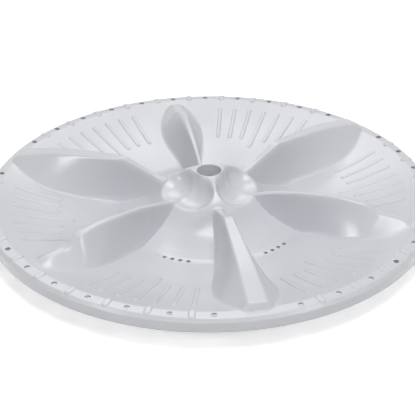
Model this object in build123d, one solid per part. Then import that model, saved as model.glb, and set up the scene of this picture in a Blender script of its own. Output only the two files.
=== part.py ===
"""Washing machine pulsator: the ribbed disc that turns in the bottom of a top loading tub.

One injection moulded piece. A dished plate carries three tall and three low hollow vanes round
a scooped hub, inside a rim with drain holes and short bars. Underneath are the drive boss with
its splined socket, a ring to stand on and thin stiffening webs.

Millimetres, +Z up. The origin lies on the spin axis, in the plane that the part rests on.
"""
from build123d import *
import os
from dataclasses import dataclass
from math import hypot, pi, sin, sqrt

# Rim, with heights over the resting plane
RIM_R = 170.0              # outer radius of the disc
LIP_Z = 23.0               # top of the outer lip
SKIRT_DROP = 7.4           # lip down to the bottom edge of the skirt
WALL = 2.5                 # wall of plate, hub and skirt
RING_W = 9.5               # from the disc's edge in to where the dish ends
RING_RISE = 2.6            # flat rim ring over the lip
LIP_W = 3.0                # from the disc's edge in to the groove between ring and lip
GROOVE_W = 1.6
GROOVE_DROP = 0.6          # floor of the groove under the lip

# Dished plate, which turns up steeper at each of two knees
GUTTER_R = 73.3            # middle of the flat gutter, the lowest part of the plate
GUTTER_W = 5.0
GUTTER_Z = 6.0
LOW_KNEE = 0.333           # places of the knees, as shares of the way from gutter to ring
LOW_KNEE_Z = 9.2
HIGH_KNEE = 0.675
HIGH_KNEE_Z = 16.0

# Hub
HUB_TOP_Z = 41.4
HUB_FLAT_R = 12.8          # flat round the screw well
DOME_EDGE_R = 34.5         # where the dome, a part of a ball, meets the hub's wall
DOME_DROP = 13.1           # flat down to the dome's edge
FOOT_HIGH_R = 41.8         # the hub wall's foot has a bevel between these two circles
FOOT_HIGH_Z = 17.0
FOOT_BEVEL_W = 6.6
FOOT_LOW_Z = 12.0
CUP_R = 15.5               # six ball shaped cups in the dome, in pairs that run together
CUP_CENTRE_R = 29.0
CUP_CENTRE_DROP = 1.4      # centres of the cups under the flat
CUP_SPREAD = 25.4          # angle of a cup from the low vane that its pair looks along
SADDLE_R = 46.0            # larger balls that lower the wall between two cups over a low vane
SADDLE_CENTRE_R = 46.2
SADDLE_CENTRE_RISE = 30.3  # centres of the saddles over the flat

# Screw well, screw hole and drive socket, all on the axis
WELL_R = 9.2
WELL_DEPTH = 14.0
SCREW_HOLE_R = 3.3
SEAT_THICK = 7.0           # solid floor between well and socket
BOSS_R = 12.5
BOSS_FOOT_Z = 2.0
SPLINES = 11
SPLINE_IN_R = 5.6
SPLINE_OUT_R = 6.6
SPLINE_W = 1.5

# Vanes
VANES_OF_A_KIND = 3
VANE_WALL = 2.4
CORE_W = 1.6               # narrowest width of the hollow under a vane's crest
FLANK_SINK = 7.0           # how far the flanks run on under the plate's skin
VANE_STATIONS = 14         # stretches between the sections that a vane is lofted through
CORE_FIRST = 2             # the hollow under a vane runs from this point of its crest, counted from 0,
CORE_LAST = 5              # to this one

# Rim holes, with a bar half way between each two
RIM_STEPS = 36
RIM_HOLE_INSET = 6.0       # from the disc's edge in to the holes' centres
RIM_HOLE_R = 2.0
BAR_LAP = 0.7              # how far a bar reaches in past the ring
BAR_W = 4.0
BAR_RISE = 0.9

# Ribs on the dish
RIBS = 7                   # in each sector between two vanes
RIB_PITCH = 5.0
RIB_LENGTH = 37.0
MIDDLE_RIB_LENGTH = 47.0
RIB_END_GAP = 10.3         # from the ribs' outer ends to the ring
RIB_W = 3.4
RIB_RISE = 1.0
RIB_ROOT = 1.2             # how deep ribs and bars are rooted in the wall

# Drain holes in the gutter, in two of the sectors
DRAIN_SECTORS = (-120.0, -60.0)
DRAINS = 4
DRAIN_PITCH = 4.8
DRAIN_R = 1.5

# Underside
STAND_INSET = 11.3         # from the gutter's middle in to the ring that the part stands on
STAND_W = 3.0
WEB_THICK = 2.0
WEB_FOOT_Z = 1.0           # lower edge of the webs, over the resting plane
WEB_SPREAD = 15.0          # outer webs stand this far to each side of a sector's middle
WEB_DROP = 4.0             # depth of the outer webs under the dish
WEB_LIFT = 1.0             # outer webs end this far over the skirt's edge

SECTORS = 6
DEEP_Z = -30.0             # floor of the construction blocks, below everything
CLEAR = 5.0                # how far a cutting block reaches past what it cuts

# Worked out from the sizes above
RING_IN_R = RIM_R - RING_W
RING_Z = LIP_Z + RING_RISE
GROOVE_IN_R = RIM_R - LIP_W
GUTTER_END_R = GUTTER_R + GUTTER_W / 2
LOW_KNEE_R = GUTTER_END_R + LOW_KNEE * (RING_IN_R - GUTTER_END_R)
HIGH_KNEE_R = GUTTER_END_R + HIGH_KNEE * (RING_IN_R - GUTTER_END_R)
DOME_EDGE_Z = HUB_TOP_Z - DOME_DROP
FOOT_LOW_R = FOOT_HIGH_R + FOOT_BEVEL_W
CUP_CENTRE_Z = HUB_TOP_Z - CUP_CENTRE_DROP
CEILING_Z = CUP_CENTRE_Z - CUP_R - WALL     # underside of the hub's crown, one wall below the cups
RIB_OUT_R = RING_IN_R - RIB_END_GAP
STAND_R = GUTTER_R - STAND_INSET


@dataclass
class Vane:
    """One kind of vane: its crest line, its flat top strip and its leaf shaped foot."""
    first_angle: float     # direction of the first of the three
    lap: float             # how far it begins inside the dome's edge
    inset: float           # how far it ends inside the disc's edge
    crest: list            # points of the crest line, as share of the length and height over the lip
    foot_in: float         # half width of the foot at its inner end
    foot_out: float
    leaf: float            # how much the foot swells between its ends
    strip_in: float        # half width of the flat strip at its inner end
    strip_out: float

    def points(self):
        """Points of the crest line, as radius and height."""
        inner, outer = DOME_EDGE_R - self.lap, RIM_R - self.inset
        return [(inner + share * (outer - inner), LIP_Z + rise) for share, rise in self.crest]

    def share(self, r):
        """How far along the vane a radius lies, from 0 to 1."""
        inner, outer = DOME_EDGE_R - self.lap, RIM_R - self.inset
        return (r - inner) / (outer - inner)

    def foot(self, r):
        """Half width where the flanks meet the plate: a leaf, widest past its middle."""
        t = self.share(r)
        return self.foot_in + (self.foot_out - self.foot_in) * t + self.leaf * sin(pi * t * t)

    def strip(self, r):
        """Half width of the strip along the crest."""
        return self.strip_in + (self.strip_out - self.strip_in) * self.share(r)

    def stations(self):
        """Evenly spaced places along the smooth crest line, as radius and height."""
        line = Spline(*[at(r, z) for r, z in self.points()])
        places = [line @ (k / VANE_STATIONS) for k in range(VANE_STATIONS + 1)]
        return [(place.X, place.Z) for place in places]


TALL = Vane(
    first_angle=-90.0, lap=1.5, inset=6.0,
    crest=[(0, 3.6), (0.099, 6.0), (0.267, 14.0), (0.45, 16.8), (0.695, 14.6), (0.939, 10.4), (1, 3.0)],
    foot_in=4.8, foot_out=8.6, leaf=14.6, strip_in=2.6, strip_out=6.5)
LOW = Vane(
    first_angle=-30.0, lap=3.5, inset=12.0,
    crest=[(0, 3.0), (0.15, 7.2), (0.354, 10.4), (0.575, 11.6), (0.709, 9.2), (0.787, 4.8), (0.906, 4.0),
           (1, 0.4)],
    foot_in=2.2, foot_out=4.6, leaf=13.2, strip_in=1.4, strip_out=5.4)


def at(r, z):
    """A point of the half section."""
    return (r, 0, z)


def skin_line():
    """Corners of the outer skin, from the dome's edge to the rim's."""
    return [(DOME_EDGE_R, DOME_EDGE_Z), (FOOT_HIGH_R, FOOT_HIGH_Z), (FOOT_LOW_R, FOOT_LOW_Z),
            (GUTTER_R - GUTTER_W / 2, GUTTER_Z), (GUTTER_R + GUTTER_W / 2, GUTTER_Z),
            (LOW_KNEE_R, LOW_KNEE_Z), (HIGH_KNEE_R, HIGH_KNEE_Z), (RING_IN_R, RING_Z), (RIM_R, RING_Z)]


def dome_middle():
    """A point half way down the dome, which is part of a ball centred on the axis."""
    z = (DOME_EDGE_R**2 + DOME_EDGE_Z**2 - HUB_FLAT_R**2 - HUB_TOP_Z**2) / (2 * (DOME_EDGE_Z - HUB_TOP_Z))
    r = (HUB_FLAT_R + DOME_EDGE_R) / 2
    return at(r, z + sqrt(HUB_FLAT_R**2 + (HUB_TOP_Z - z) ** 2 - r * r))


def skin_height(r):
    """Height of the outer skin at a radius."""
    line = skin_line()
    for (r1, z1), (r2, z2) in zip(line, line[1:]):
        if r <= r2:
            return z1 + (z2 - z1) * (r - r1) / (r2 - r1)
    return RING_Z


def ring_block(points):
    """A closed outline of the half section, turned about the axis."""
    return revolve(make_face(Polyline(*[at(*p) for p in points], close=True)), Axis.Z)


def tube(outer, inner, low, high):
    """A plain ring with square section."""
    return ring_block([(inner, low), (outer, low), (outer, high), (inner, high)])


def under_skin(wall=0.0):
    """All the space under the outer skin, sunk by a wall, as one block of revolution."""
    mirrored = -RIM_R / 2
    skin = [at(*corner) for corner in skin_line()]
    flat_edge = at(HUB_FLAT_R, HUB_TOP_Z)
    dome = ThreePointArc(flat_edge, dome_middle(), skin[0])
    rest = Polyline(*skin, at(RIM_R, DEEP_Z), at(mirrored, DEEP_Z), at(mirrored, HUB_TOP_Z), flat_edge)
    face = make_face([dome, *rest.edges()])
    if wall:
        face = offset(face, amount=-wall, kind=Kind.INTERSECTION)
    floor, roof = DEEP_Z + CLEAR, HUB_TOP_Z + CLEAR
    half = make_face(Polyline(at(0, floor), at(2 * RIM_R, floor), at(2 * RIM_R, roof), at(0, roof), close=True))
    return revolve(face & half, Axis.Z)


def scoops():
    """Balls that scoop the dome into a three armed star: six cups, and a saddle over each low vane."""
    lying = Rot(90, 0, 0)
    cup = Pos(CUP_CENTRE_R, 0, CUP_CENTRE_Z) * lying * Sphere(CUP_R)
    saddle = Pos(SADDLE_CENTRE_R, 0, HUB_TOP_Z + SADDLE_CENTRE_RISE) * lying * Sphere(SADDLE_R)
    spread = [angle + side * CUP_SPREAD for angle in vane_angles(LOW) for side in (-1, 1)]
    return round_the_axis(cup, spread) + round_the_axis(saddle, vane_angles(LOW))


def sector_middles():
    """Directions half way between neighbouring vanes."""
    return [TALL.first_angle + (k + 0.5) * 360 / SECTORS for k in range(SECTORS)]


def vane_angles(vane):
    """Directions of the vanes of one kind."""
    return [vane.first_angle + k * 360 / VANES_OF_A_KIND for k in range(VANES_OF_A_KIND)]


def trapezoid(r, top, top_z, low, low_z):
    """A cross section of a vane, square to its length."""
    return make_face(Polyline((r, -low, low_z), (r, -top, top_z), (r, top, top_z), (r, low, low_z), close=True))


def flank(vane, r, z):
    """Flank of a vane at a crest point: low end's height and the run outwards for each mm down."""
    foot, strip = vane.foot(r), vane.strip(r)
    skin = min(skin_height(hypot(r, foot)), z - WALL)
    return skin - FLANK_SINK, (foot - strip) / (z - skin)


def vane_body(vane):
    """The outside of a vane that lies along +X, as a smooth loft through its sections."""
    sections = []
    for r, z in vane.stations():
        low_z, run = flank(vane, r, z)
        sections.append(trapezoid(r, vane.strip(r), z, vane.strip(r) + run * (z - low_z), low_z))
    return loft(sections)


def vane_core(vane):
    """The hollow under that vane, one wall inside its strip and flanks at the crest points it runs between."""
    sections = []
    for r, z in vane.points()[CORE_FIRST:CORE_LAST + 1]:
        low_z, run = flank(vane, r, z)
        slant = VANE_WALL * sqrt(1 + run * run)
        drop = max(VANE_WALL, (CORE_W / 2 + slant - vane.strip(r)) / run)
        low = vane.strip(r) + run * (z - low_z) - slant
        top = vane.strip(r) + run * drop - slant
        sections.append(trapezoid(r, top, z - drop, low, low_z))
    return loft(sections, ruled=True)


def round_the_axis(shape, angles):
    """Copies of a shape, turned about the axis."""
    return [Rot(0, 0, angle) * shape for angle in angles]


def dish_ribs():
    """Low ribs on the dish, seven to a sector, the middle one longer."""
    middle = (RIBS - 1) // 2
    ribs = []
    for k in range(RIBS):
        inner = RIB_OUT_R - (MIDDLE_RIB_LENGTH if k == middle else RIB_LENGTH)
        line = [(r, skin_height(r)) for r in (inner, HIGH_KNEE_R, RIB_OUT_R)]
        outline = [(r, z + RIB_RISE) for r, z in line] + [(r, z - RIB_ROOT) for r, z in reversed(line)]
        turn = (k - middle) * RIB_PITCH
        ribs += upright(outline, RIB_W, [m + turn for m in sector_middles()])
    return ribs


def rim_angles(half_step):
    """Directions of the rim's holes or bars, less those that a tall vane's end takes up."""
    step = 360 / RIM_STEPS
    tall = vane_angles(TALL)
    every = [(k + half_step) * step for k in range(RIM_STEPS)]
    half = 180
    return [a for a in every if min(abs((a - t + half) % 360 - half) for t in tall) > 0.6 * step]


def rim_bars():
    """Short raised bars across the rim ring. The cut for the lip trims their outer ends."""
    low, high = RING_Z - RIB_ROOT, RING_Z + BAR_RISE
    inner, outer = RING_IN_R - BAR_LAP, GROOVE_IN_R + GROOVE_W
    outline = [(inner, low), (outer, low), (outer, high), (inner, high)]
    return upright(outline, BAR_W, rim_angles(0.5))


def lip_cut():
    """What is turned off above the groove and the lip."""
    roof = HUB_TOP_Z + CLEAR
    floor = LIP_Z - GROOVE_DROP
    return ring_block([
        (GROOVE_IN_R, roof), (GROOVE_IN_R, floor), (GROOVE_IN_R + GROOVE_W, LIP_Z),
        (RIM_R + CLEAR, LIP_Z), (RIM_R + CLEAR, roof)])


def upright(points, width, angles):
    """Upright plates that point at the axis, with a given side outline."""
    plate = extrude(make_face(Polyline(*[at(*p) for p in points], close=True)), width / 2, both=True)
    return round_the_axis(plate, angles)


def webs():
    """Stiffening webs: boss to standing ring, and on from there to the skirt."""
    roof = HUB_TOP_Z
    middles = sector_middles()
    inner = upright([(BOSS_R - WALL, WEB_FOOT_Z + BOSS_FOOT_Z), (STAND_R, WEB_FOOT_Z), (STAND_R, roof),
                     (BOSS_R - WALL, roof)], WEB_THICK, middles)
    skirt_r = RIM_R - WALL / 2
    outer = upright([(STAND_R, WEB_FOOT_Z), (GUTTER_R, WEB_FOOT_Z), (LOW_KNEE_R, LOW_KNEE_Z - WALL - WEB_DROP),
                     (skirt_r, LIP_Z - SKIRT_DROP + WEB_LIFT), (skirt_r, roof), (STAND_R, roof)], WEB_THICK,
                    [m + side * WEB_SPREAD for m in middles for side in (-1, 1)])
    return inner + outer


def socket():
    """The splined drive socket, open at the boss's foot."""
    top = HUB_TOP_Z - WELL_DEPTH - SEAT_THICK
    shape = Circle(SPLINE_IN_R)
    groove = Pos(SPLINE_OUT_R / 2, 0) * Rectangle(SPLINE_OUT_R, SPLINE_W)
    shape += [Rot(0, 0, k * 360 / SPLINES) * groove for k in range(SPLINES)]
    return extrude(Pos(0, 0, DEEP_Z) * shape, top - DEEP_Z)


def holes(radius, circle, angles):
    """Round holes straight down through the plate, on a circle."""
    drill = Pos(circle, 0, HUB_TOP_Z / 2) * Cylinder(radius, HUB_TOP_Z + CLEAR)
    return round_the_axis(drill, angles)


def pulsator():
    """The whole moulding."""
    vanes, cores = [], []
    for vane in (TALL, LOW):
        vanes += round_the_axis(vane_body(vane), vane_angles(vane))
        cores += round_the_axis(vane_core(vane), vane_angles(vane))
    outside = under_skin() + vanes - scoops()
    crown = tube(FOOT_LOW_R, 0, CEILING_Z, HUB_TOP_Z + CLEAR)
    edge = tube(RIM_R, GROOVE_IN_R - WALL, LIP_Z - GROOVE_DROP - WALL, HUB_TOP_Z + CLEAR)
    inside = under_skin(WALL) - crown - edge
    body = outside - inside - cores
    body -= tube(RIM_R + CLEAR, RIM_R - 2 * WALL, DEEP_Z, LIP_Z - SKIRT_DROP)
    boss = Pos(0, 0, (BOSS_FOOT_Z + HUB_TOP_Z) / 2) * Cylinder(BOSS_R, HUB_TOP_Z - BOSS_FOOT_Z)
    stand = tube(STAND_R + STAND_W / 2, STAND_R - STAND_W / 2, 0, HUB_TOP_Z)
    body += [part & outside for part in [boss, stand, *webs()]]
    body += [*dish_ribs(), *rim_bars()]
    well = Pos(0, 0, HUB_TOP_Z) * Cylinder(WELL_R, 2 * WELL_DEPTH)
    screw_hole = Cylinder(SCREW_HOLE_R, 2 * HUB_TOP_Z)
    drain_turns = [(k - (DRAINS - 1) / 2) * DRAIN_PITCH for k in range(DRAINS)]
    body -= [well, screw_hole, socket(), lip_cut()]
    body -= holes(RIM_HOLE_R, RIM_R - RIM_HOLE_INSET, rim_angles(0))
    body -= holes(DRAIN_R, GUTTER_R, [sector + turn for sector in DRAIN_SECTORS for turn in drain_turns])
    return body


def main():
    """Write the one piece to its file."""
    os.makedirs("parts", exist_ok=True)
    part = pulsator()
    solids = part.solids()
    print(f"{len(solids)} solid, {part.volume / 1000:.1f} cm3, {part.bounding_box().size}")
    export_step(part, "parts/pulsator.step")


if __name__ == "__main__":
    main()
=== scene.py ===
import logging
from dataclasses import dataclass, field, replace
from enum import Enum
from math import atan2, cos, pi, radians, sin, sqrt
from typing import Callable, Iterable, Optional

import bpy
import numpy as np
from mathutils import Matrix, Vector


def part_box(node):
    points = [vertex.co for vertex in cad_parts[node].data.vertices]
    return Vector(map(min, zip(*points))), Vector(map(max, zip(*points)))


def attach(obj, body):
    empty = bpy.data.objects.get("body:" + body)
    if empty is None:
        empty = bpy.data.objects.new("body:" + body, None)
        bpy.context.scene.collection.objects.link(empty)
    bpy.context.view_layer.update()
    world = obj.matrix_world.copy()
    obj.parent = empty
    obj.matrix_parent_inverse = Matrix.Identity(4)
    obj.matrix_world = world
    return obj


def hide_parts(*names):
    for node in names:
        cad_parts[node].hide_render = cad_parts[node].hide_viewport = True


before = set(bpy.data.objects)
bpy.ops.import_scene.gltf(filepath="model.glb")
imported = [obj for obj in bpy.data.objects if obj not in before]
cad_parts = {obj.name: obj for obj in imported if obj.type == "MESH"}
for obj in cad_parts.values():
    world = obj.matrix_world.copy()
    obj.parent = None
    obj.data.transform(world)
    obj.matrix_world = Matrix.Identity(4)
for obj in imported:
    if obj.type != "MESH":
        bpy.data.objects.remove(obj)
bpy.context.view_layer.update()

LOG = logging.getLogger("pulsator")
MM = 0.001                 # the sizes below are millimetres, and the scene is in metres
BODY = "root"
NODE = "pulsator"
SHARP_EDGE = radians(50)   # edges that turn more than this stay crisp
VANES = 3                  # vanes of each kind
SECTORS = 2 * VANES        # stretches of plate between a tall vane and a low one
FAR = 1000.0               # millimetres, a height or radius away from everything

Array = np.ndarray


class VaneKind(Enum):
    """The two heights of vane, each with the direction of its first one in degrees."""

    TALL = -90.0
    LOW = -30.0


class Zone(Enum):
    """How a row of the moulding's surface gets its place."""

    TOP = "follows the plate, hub and vanes from above"
    UNDER = "follows the hollow underside"
    TURNED = "a plain turned surface"
    SPLINED = "the drive socket's wall, with its splines"


def smooth_step(low: float, high: float, value: Array) -> Array:
    """Rise from 0 at low to 1 at high, level at both ends."""
    share = np.clip((value - low) / (high - low), 0.0, 1.0)
    return share * share * (3.0 - 2.0 * share)


def rounded_ramp(distance: Array, rounding: float) -> Array:
    """Distance where it is positive and 0 elsewhere, with the corner rounded.

    Args:
        distance: Distances past the corner.
        rounding: How far the rounding reaches to each side.

    Returns:
        The rounded ramp.
    """
    bend = (distance + rounding) ** 2 / (4.0 * rounding)
    return np.where(distance <= -rounding, 0.0, np.where(distance >= rounding, distance, bend))


def soft_min(first: Array, second: Array, blend: float) -> Array:
    """The lower of two heights, with a fillet where they are less than blend apart."""
    near = np.maximum(blend - np.abs(first - second), 0.0) / blend
    return np.minimum(first, second) - near * near * blend / 4.0


def soft_max(first: Array, second: Array, blend: float) -> Array:
    """The higher of two heights, with a fillet where they are less than blend apart."""
    return -soft_min(-first, -second, blend)


def turned(x: Array, y: Array, degrees: float) -> tuple[Array, Array]:
    """Plan coordinates along and across a direction.

    Args:
        x: Plan coordinates along X.
        y: Plan coordinates along Y.
        degrees: The direction.

    Returns:
        Coordinates along the direction and across it.
    """
    c, s = cos(radians(degrees)), sin(radians(degrees))
    return x * c + y * s, y * c - x * s


def copies_round(first: float, count: int) -> list[float]:
    """Directions of count equal copies round the axis, in degrees."""
    return [first + 360.0 * k / count for k in range(count)]


def rounded_path(corners: Iterable[tuple[float, float, float]], steps: int = 3) -> list[tuple[float, float]]:
    """A half section's line with its corners rounded.

    Args:
        corners: Radius, height and rounding of each corner. The first and last corner stay sharp.
        steps: Stretches that each rounding is drawn with.

    Returns:
        Points of the line, as radius and height.
    """
    points = [np.array(corner[:2]) for corner in corners]
    reach = [corner[2] for corner in corners]
    path = [tuple(points[0])]
    for k in range(1, len(points) - 1):
        back, ahead = points[k - 1] - points[k], points[k + 1] - points[k]
        room = 0.45 * min(np.linalg.norm(back), np.linalg.norm(ahead))
        start = points[k] + back / np.linalg.norm(back) * min(reach[k], room)
        end = points[k] + ahead / np.linalg.norm(ahead) * min(reach[k], room)
        for t in np.linspace(0.0, 1.0, steps + 1):
            path.append(tuple((1 - t) ** 2 * start + 2 * t * (1 - t) * points[k] + t * t * end))
    path.append(tuple(points[-1]))
    return path


def profile(corners: list[tuple[float, float, float]], at: Array) -> Array:
    """Height of a line of straight stretches with rounded corners.

    Args:
        corners: Place, height and rounding of each corner. The first and last stretch go on outside.
        at: Places along the line.

    Returns:
        Heights of the line at those places.
    """
    slopes = [(b[1] - a[1]) / (b[0] - a[0]) for a, b in zip(corners, corners[1:])]
    z = corners[0][1] + slopes[0] * (at - corners[0][0])
    for corner, before, after in zip(corners[1:], slopes, slopes[1:]):
        z = z + (after - before) * rounded_ramp(at - corner[0], corner[2])
    return z


@dataclass
class Plate:
    """The dished plate from the hub's wall to the rim ring, in millimetres."""

    rim_r: float
    wall: float = 2.5
    wall_top: tuple[float, float] = (34.5, 28.3)
    foot_high: tuple[float, float] = (41.8, 17.0)
    foot_low: tuple[float, float] = (48.4, 12.0)
    gutter_r: float = 73.3
    gutter_w: float = 5.0
    gutter_z: float = 6.0
    low_knee: tuple[float, float] = (104.0, 9.2)
    high_knee: tuple[float, float] = (133.0, 16.0)
    ring_w: float = 9.5
    ring_z: float = 25.6
    rounding: tuple[float, ...] = (1.0, 9.0, 16.0, 1.0, 1.0, 8.0, 10.0, 0.8, 0.8)   # of each corner, outwards

    def corners(self) -> list[tuple[float, float, float]]:
        """Radius, height and rounding of the skin's corners, outwards from the hub's wall."""
        half = self.gutter_w / 2
        places = [self.wall_top, self.foot_high, self.foot_low, (self.gutter_r - half, self.gutter_z),
                  (self.gutter_r + half, self.gutter_z), self.low_knee, self.high_knee,
                  (self.rim_r - self.ring_w, self.ring_z), (self.rim_r, self.ring_z)]
        return [(*place, rounding) for place, rounding in zip(places, self.rounding)]

    def height(self, r: Array) -> Array:
        """Height of the outer skin at a radius, with rounded corners."""
        return profile(self.corners(), r)

    def under(self, r: Array) -> Array:
        """Height of the plate's underside, one wall below the skin."""
        probe = 0.1
        slope = (self.height(r + probe) - self.height(r - probe)) / (2 * probe)
        return self.height(r) - self.wall * np.sqrt(1 + slope * slope)


@dataclass
class Vane:
    """One kind of vane: crest line, flat strip, flanks and the hollow below, in millimetres."""

    kind: VaneKind
    plate: Plate
    crest: list[tuple[float, float, float]]   # radius, height and rounding of each corner
    foot_in: float             # half width of the foot at its inner end
    foot_out: float
    leaf: float                # how much the foot swells between its ends
    strip_in: float            # half width of the flat strip at its inner end
    strip_out: float
    arm_end: tuple[float, float] = (48.0, 54.0)     # where the narrow arm widens into the flat strip
    arm_w: float = 2.8         # half width of the arm
    wall: float = 2.4
    edge: float = 0.9          # rounding of the strip's edges, to each side
    least_run: float = 0.5     # a flank goes outwards at least this much on its way down
    end_slope: float = 4.0     # fall of the vane's ends, for each millimetre outwards
    hollow: tuple[float, float] = (68.0, 156.0)     # radii between which the vane is hollow below
    hollow_slope: float = 5.0  # rise of the hollow's ends, for each millimetre inwards
    release: tuple[float, float] = (166.6, 170.0)   # radii where the mesh's columns let go of the vane

    def top(self, along: Array) -> Array:
        """Height of the crest at places along the vane."""
        return profile(self.crest, np.clip(along, self.crest[0][0], self.crest[-1][0]))

    def angles(self) -> list[float]:
        """Directions of the vanes of this kind."""
        return copies_round(self.kind.value, VANES)

    def share(self, along: Array) -> Array:
        """How far along the vane a place lies, from 0 to 1."""
        inner, outer = self.crest[0][0], self.crest[-1][0]
        return np.clip((along - inner) / (outer - inner), 0.0, 1.0)

    def foot(self, along: Array) -> Array:
        """Half width where the flanks meet the plate: a leaf, widest past its middle."""
        t = self.share(along)
        return self.foot_in + (self.foot_out - self.foot_in) * t + self.leaf * np.sin(pi * t * t)

    def strip(self, along: Array) -> Array:
        """Half width of the strip along the crest."""
        full = self.strip_in + (self.strip_out - self.strip_in) * self.share(along)
        narrow = np.minimum(self.arm_w, full)
        return narrow + (full - narrow) * smooth_step(*self.arm_end, along)

    def run(self, along: Array) -> Array:
        """How far a flank goes outwards for each millimetre down."""
        crest, foot = self.top(along), self.foot(along)
        skin = np.minimum(self.plate.height(np.hypot(along, foot)), crest - self.plate.wall)
        return np.maximum(foot - self.strip(along), self.least_run) / (crest - skin)

    def surface(self, along: Array, across: Array) -> Array:
        """Height of the vane's outside over a place in plan."""
        run = self.run(along)
        aside = rounded_ramp(np.abs(across) - self.strip(along), self.edge)
        beyond = np.maximum(self.crest[0][0] - along, 0.0) + np.maximum(along - self.crest[-1][0], 0.0)
        return self.top(along) - aside / run - self.end_slope * beyond

    def core(self, along: Array, across: Array) -> Array:
        """Height of the ceiling of the hollow under the vane."""
        run = self.run(along)
        crest = self.top(along)
        slant = self.wall * np.sqrt(1 + 1 / (run * run))
        flank = crest - np.maximum(np.abs(across) - self.strip(along), 0.0) / run - slant
        ends = self.hollow_slope * np.minimum(along - self.hollow[0], self.hollow[1] - along)
        return np.minimum(np.minimum(crest - self.wall, flank), self.plate.under(along) + ends)


@dataclass
class Hub:
    """The domed hub with six cups, in millimetres."""

    plate: Plate
    top_z: float
    flat_r: float = 12.8
    cup_r: float = 15.5
    cup_circle: float = 29.0
    cup_drop: float = 1.4
    cup_spread: float = 25.4
    cup_steep: float = 0.96    # share of a cup's radius where its wall goes on as a cone
    saddle_r: float = 46.0
    saddle_circle: float = 46.2
    saddle_rise: float = 30.3
    saddle_use: float = 0.9    # share of a saddle's radius that is used
    bay_r: float = 12.0        # ball that joins the two cups of a pair near the well
    bay_circle: float = 24.0
    lip: float = 3.0           # softness of the cups' lips
    ridge: float = 10.0        # softness of the ridges between cups
    flat_edge: float = 0.3     # softness of the flat's edge
    wall_edge: float = 1.0     # softness of the line where the dome meets the wall
    fade: tuple[float, float] = (-1.0, 4.0)   # where the dome gives way to the wall, from the wall's top

    def dome(self, r: Array) -> Array:
        """Height of the dome, part of a ball centred on the axis, that runs into the hub's wall."""
        edge_r, edge_z = self.plate.wall_top
        squares = edge_r ** 2 + edge_z ** 2 - self.flat_r ** 2 - self.top_z ** 2
        centre = squares / (2 * (edge_z - self.top_z))
        ball = sqrt(self.flat_r ** 2 + (self.top_z - centre) ** 2)
        cap = centre + np.sqrt(np.maximum(ball ** 2 - r * r, 0.0))
        outside = smooth_step(edge_r + self.fade[0], edge_r + self.fade[1], r)
        plate = self.plate.height(r)
        wall = (1 - outside) * soft_min(cap, plate, self.wall_edge) + outside * plate
        return soft_min(wall, np.full_like(r, self.top_z), self.flat_edge)

    def cup(self, distance: Array, radius: float) -> Array:
        """Height of a ball shaped cup at a distance from its centre, carried on as a cone outside."""
        steep = self.cup_steep * radius
        inside = np.minimum(distance, steep)
        bowl = self.top_z - self.cup_drop - np.sqrt(radius ** 2 - inside ** 2)
        return bowl + (distance - inside) * steep / sqrt(radius ** 2 - steep ** 2)

    def height(self, x: Array, y: Array) -> Array:
        """Height of hub and plate together over a place in plan."""
        r = np.hypot(x, y)
        cups = np.full_like(r, FAR)
        for angle in copies_round(VaneKind.LOW.value, VANES):
            along, across = turned(x, y, angle)
            reach = np.hypot(along - self.saddle_circle, across)
            reach = np.minimum(reach, self.saddle_r * self.saddle_use)
            saddle = self.top_z + self.saddle_rise - np.sqrt(self.saddle_r ** 2 - reach ** 2)
            bay = self.cup(np.hypot(along - self.bay_circle, across), self.bay_r)
            cups = soft_min(np.minimum(cups, saddle), bay, self.ridge)
            for side in (-1, 1):
                along, across = turned(x, y, angle + side * self.cup_spread)
                one = self.cup(np.hypot(along - self.cup_circle, across), self.cup_r)
                cups = soft_min(cups, one, self.ridge)
        return soft_min(self.dome(r), cups, self.lip)


@dataclass
class HoleRing:
    """Round holes through the plate, on a circle, in millimetres."""

    radius: float
    circle: float
    angles: list[float]
    margin: float = 0.35       # how far the surface round a hole is redrawn
    flare: float = 0.0         # how much wider and nearer to the axis the holes end below

    def below(self) -> "HoleRing":
        """The ring of the holes' lower ends."""
        return replace(self, radius=self.radius + self.flare, circle=self.circle - self.flare, flare=0.0)


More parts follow.
